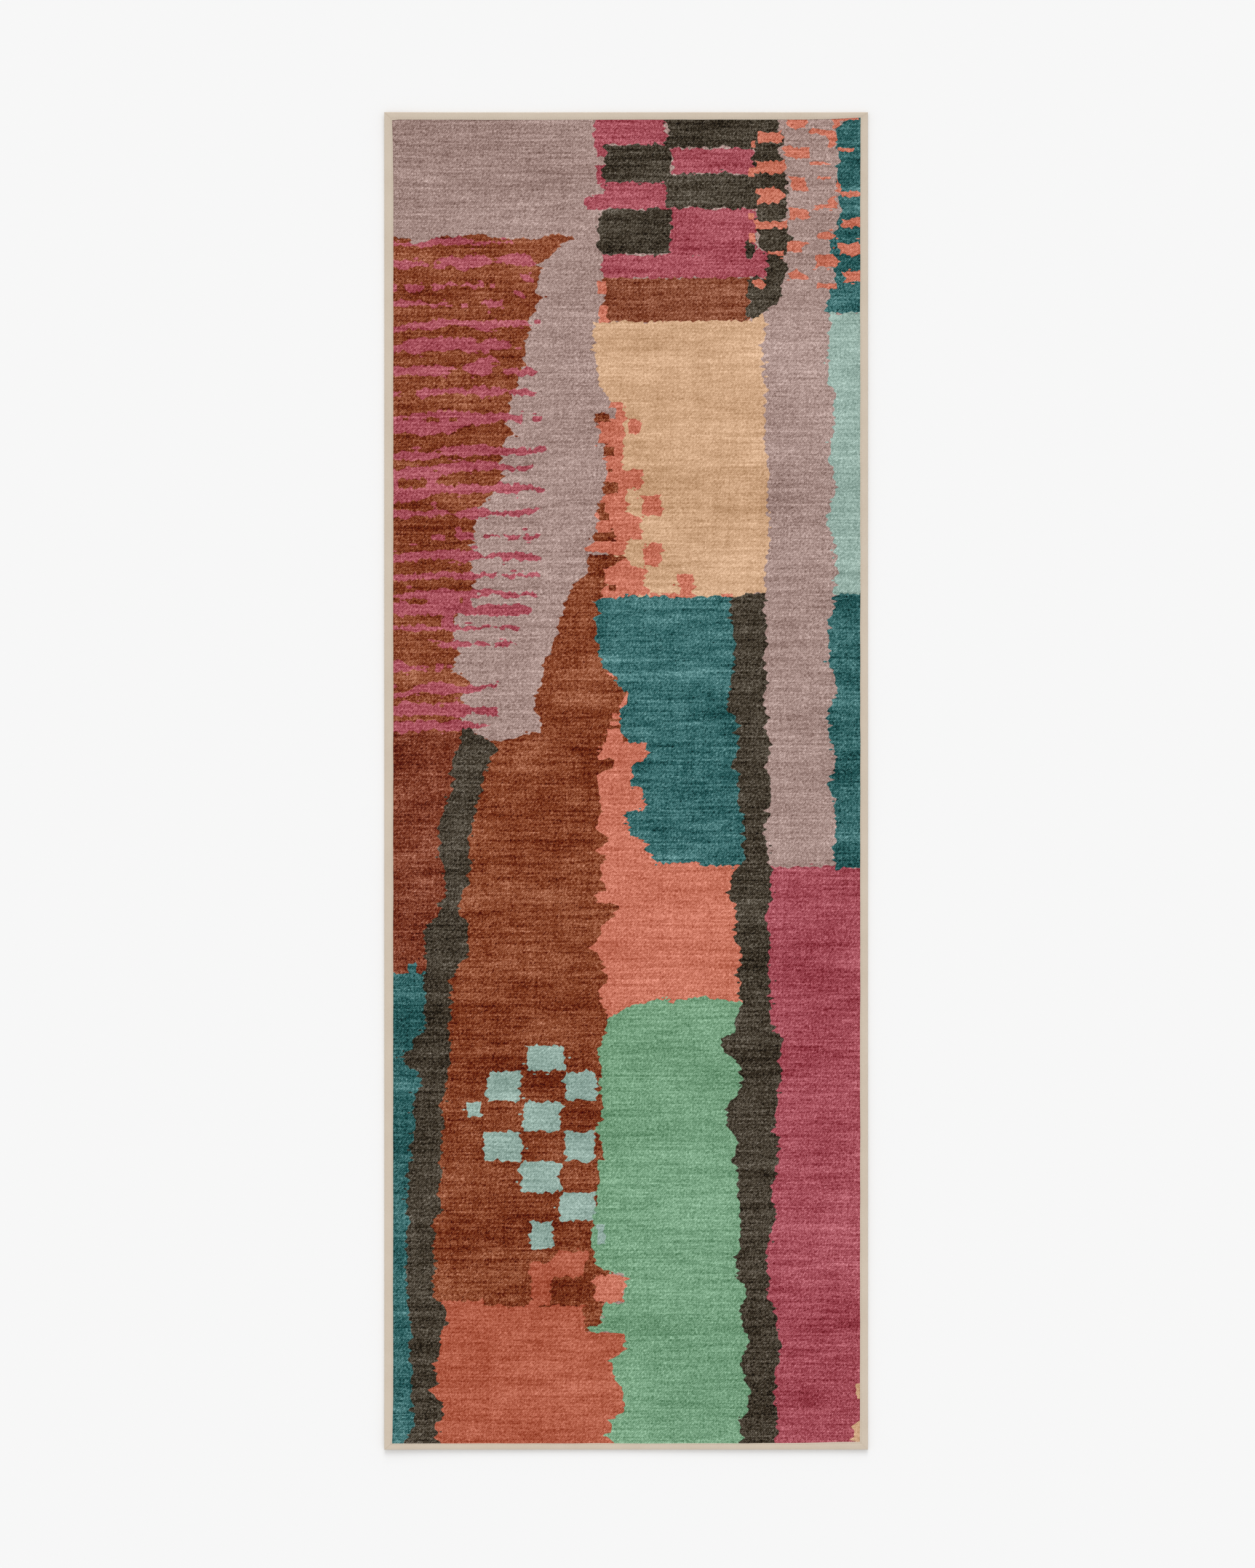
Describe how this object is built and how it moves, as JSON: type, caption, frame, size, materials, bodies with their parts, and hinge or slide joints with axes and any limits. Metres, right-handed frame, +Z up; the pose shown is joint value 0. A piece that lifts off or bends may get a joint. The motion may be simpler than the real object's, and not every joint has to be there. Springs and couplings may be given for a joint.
{
  "type": "runner rug",
  "caption": "Flat-woven runner rug with a printed patchwork face, felt cushion, rubber grip backing and a stitched, mitred tape binding.",
  "frame": {"origin": "on the floor under the middle of the rug", "axes": "+X across the width to the right of the print, +Y along the length to the head of the print, +Z up out of the face"},
  "size_m": [0.762, 2.108, 0.0054],
  "materials": {
    "face": "heathered flat-woven cloth, dye-printed in rust, mauve, peach, coral, teal, green, raspberry and charcoal",
    "cushion": "needled felt",
    "backing": "matt rubber with raised grip dots",
    "tape": "plain beige cotton tape, fine twill weave",
    "thread": "beige polyester sewing thread"
  },
  "bodies": {
    "root": {"face_cloth": "face", "cushion_felt": "cushion", "grip_backing": "backing", "binding_tape_right": "tape", "binding_tape_head": "tape", "binding_tape_left": "tape", "binding_tape_foot": "tape", "needle_thread_right": "thread", "needle_thread_head": "thread", "needle_thread_left": "thread", "needle_thread_foot": "thread", "bobbin_thread_right": "thread", "bobbin_thread_head": "thread", "bobbin_thread_left": "thread", "bobbin_thread_foot": "thread", "mitre_tack_head_right": "thread", "mitre_tack_head_left": "thread", "mitre_tack_foot_left": "thread", "mitre_tack_foot_right": "thread"}
  },
  "joints": []
}
